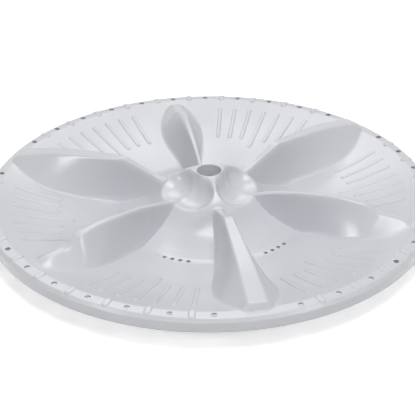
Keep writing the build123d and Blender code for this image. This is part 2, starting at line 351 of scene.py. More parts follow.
@dataclass
class Rim:
    """Ring, brow, lip and skirt, in millimetres."""

    plate: Plate
    lip_z: float = 23.0
    brow_w: float = 2.2        # width of the brow that falls from the ring's flat to the lip
    lip_bevel: float = 0.8     # the brow ends this far inside the edge and over the lip
    skirt_drop: float = 7.4
    ledge_drop: float = 0.6    # how far the edge inside the skirt lies below the lip, less a wall
    ledge_w: float = 1.0
    steps: int = 36            # places for a hole or a bar, with those of the tall vanes
    hole_r: float = 2.0
    hole_inset: float = 6.0
    hole_flare: float = 1.2
    hole_land: float = 0.3     # flat ring outside the holes
    vane_clear: float = 0.6    # how near a tall vane's middle a hole may lie, in steps

    def angles(self, tall: list[float]) -> list[float]:
        """Directions of the holes, less those that a tall vane's end takes up."""
        step = 360.0 / self.steps
        clear = self.vane_clear * step
        every = [k * step for k in range(self.steps)]
        return [a for a in every if min(abs((a - t + 180) % 360 - 180) for t in tall) > clear]

    def holes(self, tall: list[float]) -> HoleRing:
        """The holes of the rim ring."""
        circle = self.plate.rim_r - self.hole_inset
        return HoleRing(self.hole_r, circle, self.angles(tall), flare=self.hole_flare)

    def brow(self) -> list[tuple[float, float, float]]:
        """Radius, height and rounding of the corners from the ring's flat to the lip's edge."""
        edge = self.plate.rim_r
        flat_r = edge - self.hole_inset + self.hole_r + self.hole_land
        return [(flat_r, self.plate.ring_z, 0.0), (edge - self.brow_w, self.plate.ring_z, 0.9),
                (edge - self.lip_bevel, self.lip_z + self.lip_bevel, 0.4),
                (edge - 0.1, self.lip_z + 0.2, 0.5)]

    def path(self) -> list[tuple[float, float]]:
        """Line from the ring's flat over brow, lip and skirt to the underside."""
        edge = self.plate.rim_r
        inner = edge - self.plate.wall
        ledge_r = inner - self.ledge_w
        foot_z = self.lip_z - self.skirt_drop
        ledge_z = self.lip_z - self.ledge_drop - self.plate.wall
        under_z = self.plate.ring_z - self.plate.wall
        return rounded_path(self.brow() + [
            (edge, self.lip_z - 0.4, 0.3), (edge, foot_z, 0.5), (inner, foot_z, 0.4), (inner, ledge_z, 0.3),
            (ledge_r, ledge_z, 0.15), (ledge_r, under_z, 0.15), (ledge_r - 0.7, under_z, 0.0)])


@dataclass
class Boss:
    """Screw well, screw hole and drive boss on the axis, in millimetres."""

    top_z: float
    well_r: float = 9.2
    well_depth: float = 14.0
    screw_r: float = 3.3
    seat: float = 7.0          # length of the screw hole
    boss_r: float = 12.5
    foot_z: float = 2.0
    ceiling_z: float = 22.0
    splines: int = 11
    spline_in_r: float = 5.6
    spline_depth: float = 1.0
    spline_w: float = 1.5

    def well_path(self) -> list[tuple[float, float]]:
        """Line from the socket's ceiling up the screw hole and the well to the hub's flat."""
        floor = self.top_z - self.well_depth
        return rounded_path([
            (self.spline_in_r - 1.0, floor - self.seat, 0.0), (self.screw_r, floor - self.seat, 0.3),
            (self.screw_r, floor, 0.4), (self.well_r, floor, 0.9), (self.well_r, self.top_z, 0.9),
            (self.well_r + 1.5, self.top_z, 0.0)])

    def boss_path(self) -> list[tuple[float, float]]:
        """Line from the hub's ceiling down the boss to the socket's mouth."""
        return rounded_path([
            (self.boss_r + 2.5, self.ceiling_z, 0.0), (self.boss_r, self.ceiling_z, 1.2),
            (self.boss_r, self.foot_z, 0.6), (self.spline_in_r + self.spline_depth + 0.8, self.foot_z, 0.0)])

    def socket_path(self) -> list[tuple[float, float]]:
        """Line up the splined wall, given at the splines' inner radius."""
        top = self.top_z - self.well_depth - self.seat
        return [(self.spline_in_r, self.foot_z + 0.5), (self.spline_in_r, top - 0.4), (self.spline_in_r, top)]

    def spline_radius(self, r: float, angle: Array) -> Array:
        """Radius of the socket's wall at an angle in radians."""
        pitch = 2 * pi / self.splines
        aside = np.abs((angle + pitch / 2) % pitch - pitch / 2) * (r + self.spline_depth)
        return np.where(aside < self.spline_w / 2, r + self.spline_depth, r)


@dataclass
class StandRing:
    """The ring that the part stands on, in millimetres."""

    middle_r: float = 62.0
    width: float = 3.0
    edge: float = 0.5

    def path(self, plate: Plate) -> list[tuple[float, float]]:
        """Line round the ring, from the plate's underside outside it to the underside inside."""
        outer, inner = self.middle_r + self.width / 2, self.middle_r - self.width / 2
        out_z, in_z = (float(plate.under(np.array([r]))[0]) for r in (outer, inner))
        return rounded_path([
            (outer + 1.0, out_z - 0.2, 0.0), (outer, out_z, 0.7), (outer, 0.0, self.edge),
            (inner, 0.0, self.edge), (inner, in_z, 0.7), (inner - 1.0, in_z + 0.4, 0.0)])


@dataclass(frozen=True)
class RowPlan:
    """Where the mesh's rows lie: first and last radius of each stretch and its rows, in millimetres."""

    hub: tuple[float, float, int] = (11.4, 48.0, 50)
    slope: tuple[float, int] = (49.3, 13)                       # from here to the gutter
    corner: float = 0.8                                         # how far the gutter's rounded corners reach
    gap: float = 1.0                                            # from the gutter's rows to those beside them
    gutter: int = 9
    dish: tuple[float, float, int] = (78.0, 148.0, 40)
    ring_slope: tuple[float, float, int] = (149.2, -1.2, 8)     # ends this far from the ring's inner edge
    ring_corner: tuple[float, float, int] = (-0.5, 0.7, 4)      # both from the ring's inner edge
    ring_flat: tuple[float, float, int] = (1.3, 4.7, 5)
    rim_under: tuple[float, float, int] = (-1.6, 159.3, 4)      # starts this far from the ledge
    dish_under: tuple[float, int] = (157.8, 27)
    gutter_under: int = 5
    foot_under: tuple[float, int] = (68.5, 4)
    stand_gap: float = 1.6
    boss_gap: float = 3.4
    hub_rows_under: int = 13

    def gutter_edges(self, plate: Plate) -> tuple[float, float]:
        """Inner and outer radius of the gutter with its rounded corners."""
        reach = plate.gutter_w / 2 + self.corner
        return plate.gutter_r - reach, plate.gutter_r + reach

    def top(self, plate: Plate) -> Array:
        """Radii of the rows on top, from the well to the ring."""
        inner, outer = self.gutter_edges(plate)
        ring_in = plate.rim_r - plate.ring_w
        corner, flat = self.ring_corner, self.ring_flat
        return np.concatenate([
            np.linspace(*self.hub), np.linspace(self.slope[0], inner - self.gap, self.slope[1]),
            np.linspace(inner, outer, self.gutter), np.linspace(*self.dish),
            np.linspace(self.ring_slope[0], ring_in + self.ring_slope[1], self.ring_slope[2]),
            np.linspace(ring_in + corner[0], ring_in + corner[1], corner[2]),
            np.linspace(ring_in + flat[0], ring_in + flat[1], flat[2])])

    def under(self, plate: Plate, ledge_r: float, stand_r: float) -> Array:
        """Radii of the rows below, from the ledge inside the skirt to the ring that the part stands on."""
        inner, outer = self.gutter_edges(plate)
        return np.concatenate([
            np.linspace(ledge_r + self.rim_under[0], self.rim_under[1], self.rim_under[2]),
            np.linspace(self.dish_under[0], outer + self.gap, self.dish_under[1]),
            np.linspace(outer, inner, self.gutter_under),
            np.linspace(self.foot_under[0], stand_r, self.foot_under[1])])

    def hub_under(self, stand_r: float, boss_r: float) -> Array:
        """Radii of the rows under the hub, from the ring that the part stands on to the boss."""
        return np.linspace(stand_r, boss_r + self.boss_gap, self.hub_rows_under)


@dataclass
class Moulding:
    """The whole moulded body as one mesh of rows round the axis and columns along them."""

    plate: Plate
    hub: Hub
    rim: Rim
    boss: Boss
    stand: StandRing
    vanes: dict[VaneKind, Vane]
    drains: HoleRing
    plan: RowPlan = RowPlan()
    half_columns: int = 30     # columns from a vane's middle to half way to the next vane
    column_shares: tuple[float, ...] = (0.0, 0.1, 0.24, 0.42, 0.54, 1.0)   # of them, up to each key place
    edge_gap: float = 1.4      # distance of the key places from the strip's edge
    edge_share: float = 0.6    # but no more than this share of the strip's half width
    heel_gap: float = 1.6      # distance of the key places from the foot of the flank
    heel_share: float = 0.45   # but no more than this share of the flank
    least_flank: float = 1.2
    most_turn: float = 0.8     # share of a half sector that the key places may take up
    gather: float = 9.0        # the columns begin to follow a vane this far inside its start
    ceiling_r: float = 48.4
    ceiling_edge: float = 1.0  # softness of the ceiling's edge
    vane_near: tuple[float, float] = (20.0, 45.0)   # a vane counts from this radius on and this far aside
    vane_edge: float = 1.0     # fillet at a vane's foot
    core_near: tuple[float, float] = (50.0, 40.0)   # the same for the hollow under it
    core_edge: float = 0.6
    hole_points: int = 28
    vertices: list[tuple[float, float, float]] = field(default_factory=list)
    faces: list[tuple[int, ...]] = field(default_factory=list)

    def top(self, x: Array, y: Array) -> Array:
        """Height of the moulding from above."""
        z = self.hub.height(x, y)
        for vane in self.vanes.values():
            for angle in vane.angles():
                along, across = turned(x, y, angle)
                near = (along > self.vane_near[0]) & (np.abs(across) < self.vane_near[1])
                body = np.where(near, vane.surface(np.maximum(along, self.vane_near[0]), across), -FAR)
                z = soft_max(z, body, self.vane_edge)
        return z

    def under(self, x: Array, y: Array) -> Array:
        """Height of the moulding's hollow underside."""
        r = np.hypot(x, y)
        z = self.plate.under(np.maximum(r, self.vane_near[0]))
        ceiling = soft_min(z, np.full_like(r, self.boss.ceiling_z), self.ceiling_edge)
        z = np.where(r < self.ceiling_r, ceiling, z)
        for vane in self.vanes.values():
            for angle in vane.angles():
                along, across = turned(x, y, angle)
                near = (along > self.core_near[0]) & (np.abs(across) < self.core_near[1])
                core = vane.core(np.maximum(along, self.core_near[0]), across)
                z = np.where(near, soft_max(z, core, self.core_edge), z)
        return z

    def half_sector(self, vane: Vane, r: float) -> Array:
        """Angles of the columns from a vane's middle to the sector's middle, in radians.

        Args:
            vane: The vane at the start of the half sector.
            r: Radius of the row.

        Returns:
            Angles that rise from 0 to 30 degrees, close together at the strip's edge and the foot.
        """
        at = np.array([r])
        strip, foot = float(vane.strip(at)[0]), float(vane.foot(at)[0])
        edge = min(self.edge_gap, self.edge_share * strip)
        foot = max(foot, strip + edge + self.least_flank)
        heel = min(self.heel_gap, self.heel_share * (foot - strip - edge))
        keys = [0.0, strip - edge, strip + edge, foot - heel, foot + heel]
        half = pi / SECTORS
        turns = [min(key / r, self.most_turn * half) for key in keys] + [half]
        columns = np.arange(self.half_columns + 1)
        fitted = np.interp(columns, np.array(self.column_shares) * self.half_columns, turns)
        even = columns * half / self.half_columns
        inner = vane.crest[0][0]
        weight = smooth_step(inner - self.gather, inner, at) * (1 - smooth_step(*vane.release, at))
        return weight * fitted + (1 - weight) * even

    def columns(self, r: float) -> Array:
        """Angles of all columns at a radius, in radians."""
        tall = self.half_sector(self.vanes[VaneKind.TALL], r)
        low = self.half_sector(self.vanes[VaneKind.LOW], r)
        half_way, whole = pi / VANES, 2 * pi / VANES
        third = np.concatenate([tall[:-1], half_way - low[:0:-1], half_way + low[:-1], whole - tall[:0:-1]])
        start = radians(VaneKind.TALL.value)
        return np.concatenate([start + third + k * whole for k in range(VANES)])

    def rows(self) -> list[tuple[float, float, Zone]]:
        """Radius, height and zone of each row, from the screw hole over the top to the socket."""
        plan = self.plan
        ledge_r = self.plate.rim_r - self.plate.wall - self.rim.ledge_w
        stand_half = self.stand.width / 2 + plan.stand_gap
        outer, inner = self.stand.middle_r + stand_half, self.stand.middle_r - stand_half
        rows = [(r, z, Zone.TURNED) for r, z in self.boss.well_path()]
        rows += [(r, 0.0, Zone.TOP) for r in plan.top(self.plate)]
        rows += [(r, z, Zone.TURNED) for r, z in self.rim.path()]
        rows += [(r, 0.0, Zone.UNDER) for r in plan.under(self.plate, ledge_r, outer)]
        rows += [(r, z, Zone.TURNED) for r, z in self.stand.path(self.plate)]
        rows += [(r, 0.0, Zone.UNDER) for r in plan.hub_under(inner, self.boss.boss_r)]
        rows += [(r, z, Zone.TURNED) for r, z in self.boss.boss_path()]
        rows += [(r, z, Zone.SPLINED) for r, z in self.boss.socket_path()]
        return rows

    def grid(self) -> tuple[Array, list[tuple[float, float, Zone]]]:
        """Points of the whole surface.

        Returns:
            An array of rows, columns and coordinates, and the rows that it was made from.
        """
        rows = self.rows()
        points = np.zeros((len(rows), self.half_columns * 2 * SECTORS, 3))
        for j, (r, z, zone) in enumerate(rows):
            angle = self.columns(r)
            radius = self.boss.spline_radius(r, angle) if zone is Zone.SPLINED else np.full_like(angle, r)
            x, y = radius * np.cos(angle), radius * np.sin(angle)
            points[j, :, 0], points[j, :, 1], points[j, :, 2] = x, y, z
            if zone is Zone.TOP:
                points[j, :, 2] = self.top(x, y)
            if zone is Zone.UNDER:
                points[j, :, 2] = self.under(x, y)
        return points, rows

    def window(self, points: Array, rows: list[tuple[float, float, Zone]], holes: HoleRing, angle: float,
               zones: tuple[Zone, ...]) -> tuple[int, int, list[int]]:
        """The block of the grid round one hole.

        Args:
            points: The grid.
            rows: The grid's rows.
            holes: The ring of holes.
            angle: Direction of the hole, in degrees.
            zones: Zones that the block may lie in.

        Returns:
            First and last row, and the columns in order round the axis.
        """
        reach = holes.radius + holes.margin
        near = [j for j, (r, _, zone) in enumerate(rows) if zone in zones and abs(r - holes.circle) <= reach]
        first, last = near[0], near[-1]
        middle = points[(first + last) // 2]
        turn = np.arctan2(middle[:, 1], middle[:, 0]) - radians(angle)
        aside = ((turn + pi) % (2 * pi) - pi) * holes.circle
        count = len(aside)
        left = int(np.argmax(np.where(aside <= -reach, aside, -np.inf)))
        right = int(np.argmin(np.where(aside >= reach, aside, np.inf)))
        width = (right - left) % count
        return first, last, [(left + k) % count for k in range(width + 1)]

    def collar(self, loop: list[int], centre: tuple[float, float], holes: HoleRing,
               height: Callable[[Array, Array], Array], upward: bool) -> list[int]:
        """Join a block's edge to the circle of a hole.

        The join closes only where the block's vertices follow each other in order of bearing. Below,
        the columns slant so much beside six rim holes that they don't, and small gaps stay there.

        Args:
            loop: Vertices of the block's edge.
            centre: Plan coordinates of the hole's centre.
            holes: The ring of holes.
            height: Height of the surface over a place.
            upward: Whether the surface faces up.

        Returns:
            Vertices of the circle, anticlockwise from above.
        """
        def bearing(index: int) -> float:
            """Direction of a vertex from the hole's centre."""
            x, y, _ = self.vertices[index]
            return atan2(y - centre[1], x - centre[0]) % (2 * pi)

        turns = np.arange(self.hole_points) * 2 * pi / self.hole_points
        x = centre[0] + holes.radius * np.cos(turns)
        y = centre[1] + holes.radius * np.sin(turns)
        z = height(x, y)
        circle = list(range(len(self.vertices), len(self.vertices) + self.hole_points))
        self.vertices += list(zip(x.tolist(), y.tolist(), z.tolist()))
        outer = sorted(loop, key=bearing)
        marks = sorted([(bearing(v), 0, k) for k, v in enumerate(outer)]
                       + [(float(t), 1, k) for k, t in enumerate(turns)])
        at = [len(outer) - 1, self.hole_points - 1]
        for _, ring, k in marks:
            face = (outer[at[0]], (outer, circle)[ring][k], circle[at[1]])
            self.faces.append(face if upward else face[::-1])
            at[ring] = k
        return circle

    def punch(self, points: Array, rows: list[tuple[float, float, Zone]], holes: HoleRing, keep: Array,
              under_zones: tuple[Zone, ...]) -> None:
        """Open a ring of holes through the top and the underside.

        Args:
            points: The grid.
            rows: The grid's rows.
            holes: The ring of holes.
            keep: Marks of the grid's faces that stay, changed here.
            under_zones: Zones that the underside has there.
        """
        columns = points.shape[1]
        for angle in holes.angles:
            circles = []
            for ring, zones, height, upward in ((holes, (Zone.TOP, Zone.TURNED), self.top, True),
                                                (holes.below(), under_zones, self.under, False)):
                centre = (ring.circle * cos(radians(angle)), ring.circle * sin(radians(angle)))
                part = self.half_of(rows, upward)
                first, last, across = self.window(points, part, ring, angle, zones)
                loop = [j * columns + i for j in range(first, last + 1) for i in (across[0], across[-1])]
                loop += [j * columns + i for j in (first, last) for i in across[1:-1]]
                for i in across[:-1]:
                    keep[first:last, i] = False
                circles.append(self.collar(loop, centre, ring, height, upward))
            upper, lower = circles
            for k in range(self.hole_points):
                n = (k + 1) % self.hole_points
                self.faces.append((upper[k], upper[n], lower[n], lower[k]))

    def half_of(self, rows: list[tuple[float, float, Zone]], upper: bool) -> list[tuple[float, float, Zone]]:
        """The rows with those of the other side moved out of every hole's reach."""
        skirt = max(range(len(rows)), key=lambda j: rows[j][0])
        return [row if (j < skirt) == upper else (-FAR, 0.0, row[2]) for j, row in enumerate(rows)]

    def build(self) -> bpy.types.Object:
        """Make the mesh with its holes."""
        points, rows = self.grid()
        count, columns = points.shape[:2]
        self.vertices = [tuple(p) for p in points.reshape(-1, 3).tolist()]
        keep = np.ones((count, columns), bool)
        rim_holes = self.rim.holes(self.vanes[VaneKind.TALL].angles())
        self.punch(points, rows, rim_holes, keep, (Zone.UNDER, Zone.TURNED))
        self.punch(points, rows, self.drains, keep, (Zone.UNDER,))
        for j in range(count):
            n = (j + 1) % count
            for i in range(columns):
                if keep[j, i]:
                    m = (i + 1) % columns
                    self.faces.append((j * columns + i, n * columns + i, n * columns + m, j * columns + m))
        return mesh_object("moulded_disc", self.vertices, self.faces)


def put_in_scene(name: str, data: bpy.types.ID) -> bpy.types.Object:
    """Make an object from its data and link it to the scene."""
    thing = bpy.data.objects.new(name, data)
    bpy.context.scene.collection.objects.link(thing)
    return thing


def mesh_object(name: str, points: Iterable[tuple[float, float, float]],
                faces: Iterable[tuple[int, ...]]) -> bpy.types.Object:
    """Make a smooth shaded object from points in millimetres.

    Args:
        name: Name of the object.
        points: Its vertices, in millimetres.
        faces: Its faces, anticlockwise from outside.

    Returns:
        The object, linked to the scene, at the origin.
    """
    mesh = bpy.data.meshes.new(name)
    mesh.from_pydata([(x * MM, y * MM, z * MM) for x, y, z in points], [], list(faces))
    mesh.validate()
    mesh.shade_smooth()
    mesh.set_sharp_from_angle(angle=SHARP_EDGE)
    return put_in_scene(name, mesh)


@dataclass
class Mound:
    """A low raised bar with round ends that lies along +X and grows softly out of its ground."""

    inner: float
    outer: float
    half_width: float
    rise: float
    ground: Callable[[Array], Array]
    stations: int = 22
    end_points: int = 10
    least_half: float = 0.15
    flank: tuple[tuple[float, float], ...] = (        # inset from the edge, and share of the rise
        (-0.35, -0.25), (-0.05, 0.06), (0.2, 0.42), (0.5, 0.8), (0.85, 0.97), (1.3, 1.0))

    def loop(self, inset: float) -> list[tuple[float, float]]:
        """Plan outline of the bar, moved in by an inset, anticlockwise."""
        w = self.half_width
        low, high = self.inner + w, self.outer - w
        half = max(w - inset, self.least_half)
        side = np.linspace(low, high, self.stations)
        turns = np.linspace(-pi / 2, pi / 2, self.end_points)[1:-1]
        right = [(float(x), -half) for x in side]
        cap = [(high + half * cos(t), half * sin(t)) for t in turns]
        left = [(float(x), half) for x in side[::-1]]
        tail = [(low - half * cos(t), -half * sin(t)) for t in turns]
        return right + cap + left + tail

    def build(self, name: str) -> bpy.types.Object:
        """Make the bar as a mesh."""
        points, faces = [], []
        for inset, share in self.flank:
            plan = np.array(self.loop(inset))
            z = self.ground(np.hypot(plan[:, 0], plan[:, 1])) + share * self.rise
            points += [(float(x), float(y), float(h)) for (x, y), h in zip(plan, z)]
        size = len(plan)
        for level in range(len(self.flank) - 1):
            for k in range(size):
                n = (k + 1) % size
                a, b = level * size, (level + 1) * size
                faces.append((a + k, a + n, b + n, b + k))
        last = (len(self.flank) - 1) * size
        for k in range(self.stations - 1):
            mirror = 2 * self.stations + self.end_points - 3 - k
            faces.append((last + k, last + k + 1, last + mirror - 1, last + mirror))
        first_cap, turn = self.stations - 1, self.end_points - 2
        faces.append(tuple(last + first_cap + k for k in range(turn + 2)))
        tail = 2 * self.stations + turn
        faces.append(tuple(last + tail - 1 + k for k in range(turn + 1)) + (last,))
        faces.append(tuple(range(size - 1, -1, -1)))
        return mesh_object(name, points, faces)


@dataclass
class Web:
    """An upright stiffening web that lies along +X, with a rounded lower edge."""

    lower: list[tuple[float, float]]
    roof: Callable[[Array], Array]
    thickness: float = 2.0
    stations: int = 26
    sink: float = 0.9          # how far the web's top reaches into the wall above it
    edge: float = 0.5

    def build(self, name: str) -> bpy.types.Object:
        """Make the web as a closed mesh."""
        r, z = np.array(self.lower).T
        along = np.linspace(r[0], r[-1], self.stations)
        low, high = np.interp(along, r, z), self.roof(along) + self.sink
        half, edge = self.thickness / 2, self.edge
        section = [(-half, 1.0, 0.0), (-half, 0.0, edge), (-half + edge * 0.3, 0.0, edge * 0.3),
                   (-half + edge, 0.0, 0.0), (half - edge, 0.0, 0.0), (half - edge * 0.3, 0.0, edge * 0.3),
                   (half, 0.0, edge), (half, 1.0, 0.0)]
        points, faces = [], []
        for x, bottom, top in zip(along, low, high):
            for y, share, lift in section:
                points.append((float(x), y, float(bottom + share * (top - bottom) + lift)))
        size = len(section)
        for k in range(self.stations - 1):
            for m in range(size):
                n = (m + 1) % size
                a, b = k * size, (k + 1) * size
                faces.append((a + m, a + n, b + n, b + m))
        faces.append(tuple(range(size - 1, -1, -1)))
        faces.append(tuple((self.stations - 1) * size + m for m in range(size)))
        return mesh_object(name, points, faces)


def add_node(tree: bpy.types.NodeTree, kind: str, settings: Optional[dict] = None,
             inputs: Optional[dict] = None) -> bpy.types.Node:
    """Add a node with its settings and links.

    Args:
        tree: The tree that gets the node.
        kind: The node's type.
        settings: Its own properties.
        inputs: Values or sockets for its inputs, by name or number.

    Returns:
        The node.
    """
    node = tree.nodes.new(kind)
    for name, value in (settings or {}).items():
        setattr(node, name, value)
    for name, value in (inputs or {}).items():
        if isinstance(value, bpy.types.NodeSocket):
            tree.links.new(value, node.inputs[name])
        else:
            node.inputs[name].default_value = value
    return node


def calculate(tree: bpy.types.NodeTree, operation: str, first: object,
              second: object) -> bpy.types.NodeSocket:
    """One step of arithmetic between two sockets or numbers."""
    return add_node(tree, "ShaderNodeMath", {"operation": operation}, {0: first, 1: second}).outputs[0]


@dataclass
class TurnedCopies:
    """Copies of one shape round the axis, in equal groups, made by a geometry node tree."""

    name: str
    groups: int
    per_group: int
    first: float               # direction of the first copy, in degrees
    step: float                # from one copy to the next in a group
    group_step: float

    def tree(self) -> bpy.types.GeometryNodeTree:
        """Build the tree with its named inputs."""
        tree = bpy.data.node_groups.new(self.name, "GeometryNodeTree")
        face = tree.interface
        face.new_socket("Geometry", in_out="INPUT", socket_type="NodeSocketGeometry")
        for label in ("Groups", "Copies in a Group"):
            face.new_socket(label, in_out="INPUT", socket_type="NodeSocketInt")
        for label in ("First Angle", "Step Angle", "Group Angle"):
            face.new_socket(label, in_out="INPUT", socket_type="NodeSocketFloat")
        face.new_socket("Material", in_out="INPUT", socket_type="NodeSocketMaterial")
        face.new_socket("Geometry", in_out="OUTPUT", socket_type="NodeSocketGeometry")
        given = add_node(tree, "NodeGroupInput").outputs
        index = add_node(tree, "GeometryNodeInputIndex").outputs[0]
        per_group = given["Copies in a Group"]
        total = calculate(tree, "MULTIPLY", given["Groups"], per_group)
        group = calculate(tree, "FLOOR", calculate(tree, "DIVIDE", index, per_group), 0.0)
        place = calculate(tree, "SUBTRACT", index, calculate(tree, "MULTIPLY", group, per_group))
        turn = calculate(tree, "ADD", calculate(tree, "MULTIPLY", place, given["Step Angle"]),
                         calculate(tree, "MULTIPLY", group, given["Group Angle"]))
        angle = calculate(tree, "ADD", turn, given["First Angle"])
        points = add_node(tree, "GeometryNodePoints", inputs={"Count": total})
        rotation = add_node(tree, "ShaderNodeCombineXYZ", inputs={"Z": angle})
        copies = add_node(tree, "GeometryNodeInstanceOnPoints", inputs={
            "Points": points.outputs[0], "Instance": given["Geometry"], "Rotation": rotation.outputs[0]})
        real = add_node(tree, "GeometryNodeRealizeInstances", inputs={"Geometry": copies.outputs[0]})
        dressed = add_node(tree, "GeometryNodeSetMaterial", inputs={
            "Geometry": real.outputs[0], "Material": given["Material"]})
        add_node(tree, "NodeGroupOutput", inputs={"Geometry": dressed.outputs[0]})
        return tree

    def apply(self, seed: bpy.types.Object, material: bpy.types.Material) -> bpy.types.Object:
        """Copy a shape round the axis.

        Args:
            seed: The shape, which lies along +X. It is removed.
            material: Finish of the copies.

        Returns:
            One plain object with all the copies.
        """
        modifier = seed.modifiers.new(self.name, "NODES")
        tree = self.tree()
        modifier.node_group = tree
        values = {"Groups": self.groups, "Copies in a Group": self.per_group, "Material": material,
                  "First Angle": radians(self.first), "Step Angle": radians(self.step),
                  "Group Angle": radians(self.group_step)}
        for item in tree.interface.items_tree:
            if item.in_out == "INPUT" and item.name in values:
                modifier[item.identifier] = values[item.name]
        bpy.context.view_layer.update()
        seen = seed.evaluated_get(bpy.context.evaluated_depsgraph_get())
        mesh = bpy.data.meshes.new_from_object(seen)
        seed.modifiers.remove(modifier)
        bpy.data.objects.remove(seed)
        mesh.name = self.name
        return put_in_scene(self.name, mesh)


@dataclass
class DishRibs:
    """Low ribs on the dish, seven between each two vanes, the middle one longer."""

    plate: Plate
    pitch: float = 5.0         # degrees from one rib to the next
    side_ribs: int = 3
    inner: float = 113.2
    middle_inner: float = 103.2
    outer: float = 150.2
    width: float = 3.4
    rise: float = 1.0

    def build(self, material: bpy.types.Material) -> list[bpy.types.Object]:
        """Make all ribs: those before the middle of each sector, in it and after it."""
        step = 360.0 / SECTORS
        middle = VaneKind.TALL.value + step / 2
        pieces = []
        for name, inner, first, count in (
                ("dish_ribs_before", self.inner, middle - self.side_ribs * self.pitch, self.side_ribs),
                ("dish_ribs_middle", self.middle_inner, middle, 1),
                ("dish_ribs_after", self.inner, middle + self.pitch, self.side_ribs)):
            rib = Mound(inner, self.outer, self.width / 2, self.rise, self.plate.height)
            copies = TurnedCopies(name, SECTORS, count, first, self.pitch, step)
            pieces.append(copies.apply(rib.build(name + "_seed"), material))
        return pieces


@dataclass
class RimBars:
    """Short raised bars across the rim ring, ten between each two tall vanes."""

    plate: Plate
    rim: Rim
    width: float = 4.8
    rise: float = 0.9
    lap: float = 1.2           # how far a bar reaches inwards past the ring
    inset: float = 1.3         # how far it ends inside the disc's edge
    stations: int = 14

    def build(self, material: bpy.types.Material) -> bpy.types.Object:
        """Make all bars, each half way between two places for holes."""
        step, third = 360.0 / self.rim.steps, 360.0 / VANES
        between = round(third / step) - 2
        inner = self.plate.rim_r - self.plate.ring_w - self.lap
        outer = self.plate.rim_r - self.inset

        def ground(r: Array) -> Array:
            """Height of the ring and its brow."""
            return profile(self.rim.brow(), r)

        bar = Mound(inner, outer, self.width / 2, self.rise, ground, stations=self.stations)
        copies = TurnedCopies("rim_bars", VANES, between, VaneKind.TALL.value + 1.5 * step, step, third)
        return copies.apply(bar.build("rim_bars_seed"), material)


@dataclass
class Webs:
    """Stiffening webs under the plate, in millimetres."""

    body: Moulding
    foot_z: float = 1.0        # lower edge over the resting plane
    spread: float = 15.0       # degrees from a sector's middle to its two outer webs
    drop: float = 4.0          # depth of an outer web under the plate's lower knee
    lift: float = 1.0          # how far it ends over the skirt's lower edge
    lap: float = 0.6           # how far a web reaches into what it joins

    def build(self, material: bpy.types.Material) -> list[bpy.types.Object]:
        """Make the webs from boss to standing ring, and those from there to the skirt."""
        step = 360.0 / SECTORS
        middle = VaneKind.TALL.value + step / 2
        plate, boss, stand = self.body.plate, self.body.boss, self.body.stand
        skirt_r = plate.rim_r - plate.wall + self.lap
        skirt_z = self.body.rim.lip_z - self.body.rim.skirt_drop + self.lift

        def roof(r: Array) -> Array:
            """Underside that a web hangs from."""
            direction = radians(middle)
            inside = np.minimum(r, plate.rim_r - plate.ring_w)
            return self.body.under(inside * cos(direction), inside * sin(direction))

        inner = Web([(boss.boss_r - self.lap, self.foot_z + boss.foot_z),
                     (stand.middle_r - self.lap, self.foot_z)], roof)
        knee_r, knee_z = plate.low_knee
        outer = Web([(stand.middle_r + self.lap, self.foot_z), (plate.gutter_r, self.foot_z),
                     (knee_r, knee_z - plate.wall - self.drop), (skirt_r, skirt_z)], roof)
        inner_copies = TurnedCopies("inner_webs", 1, SECTORS, middle, step, 0.0)
        outer_copies = TurnedCopies("outer_webs", SECTORS, 2, middle - self.spread, 2 * self.spread, step)
        return [inner_copies.apply(inner.build("inner_webs_seed"), material),
                outer_copies.apply(outer.build("outer_webs_seed"), material)]


def linear(code: str) -> tuple[float, float, float, float]:
    """Turn an sRGB hex value into a linear colour."""
    parts = [int(code[k:k + 2], 16) / 255 for k in (1, 3, 5)]
    turned_parts = [p / 12.92 if p <= 0.04045 else ((p + 0.055) / 1.055) ** 2.4 for p in parts]
    return (*turned_parts, 1.0)


def empty_tree(owner: bpy.types.Material | bpy.types.World) -> bpy.types.NodeTree:
    """The cleared node tree of a material or a world."""
    owner.use_nodes = True
    owner.node_tree.nodes.clear()
    return owner.node_tree


def seen_directly(tree: bpy.types.NodeTree) -> bpy.types.NodeSocket:
    """A socket that is 1 for rays from the camera, from reflections and through glass, and 0 for light."""
    rays = add_node(tree, "ShaderNodeLightPath").outputs
    either = calculate(tree, "MAXIMUM", rays["Is Camera Ray"], rays["Is Transmission Ray"])
    return calculate(tree, "MAXIMUM", either, rays["Is Glossy Ray"])


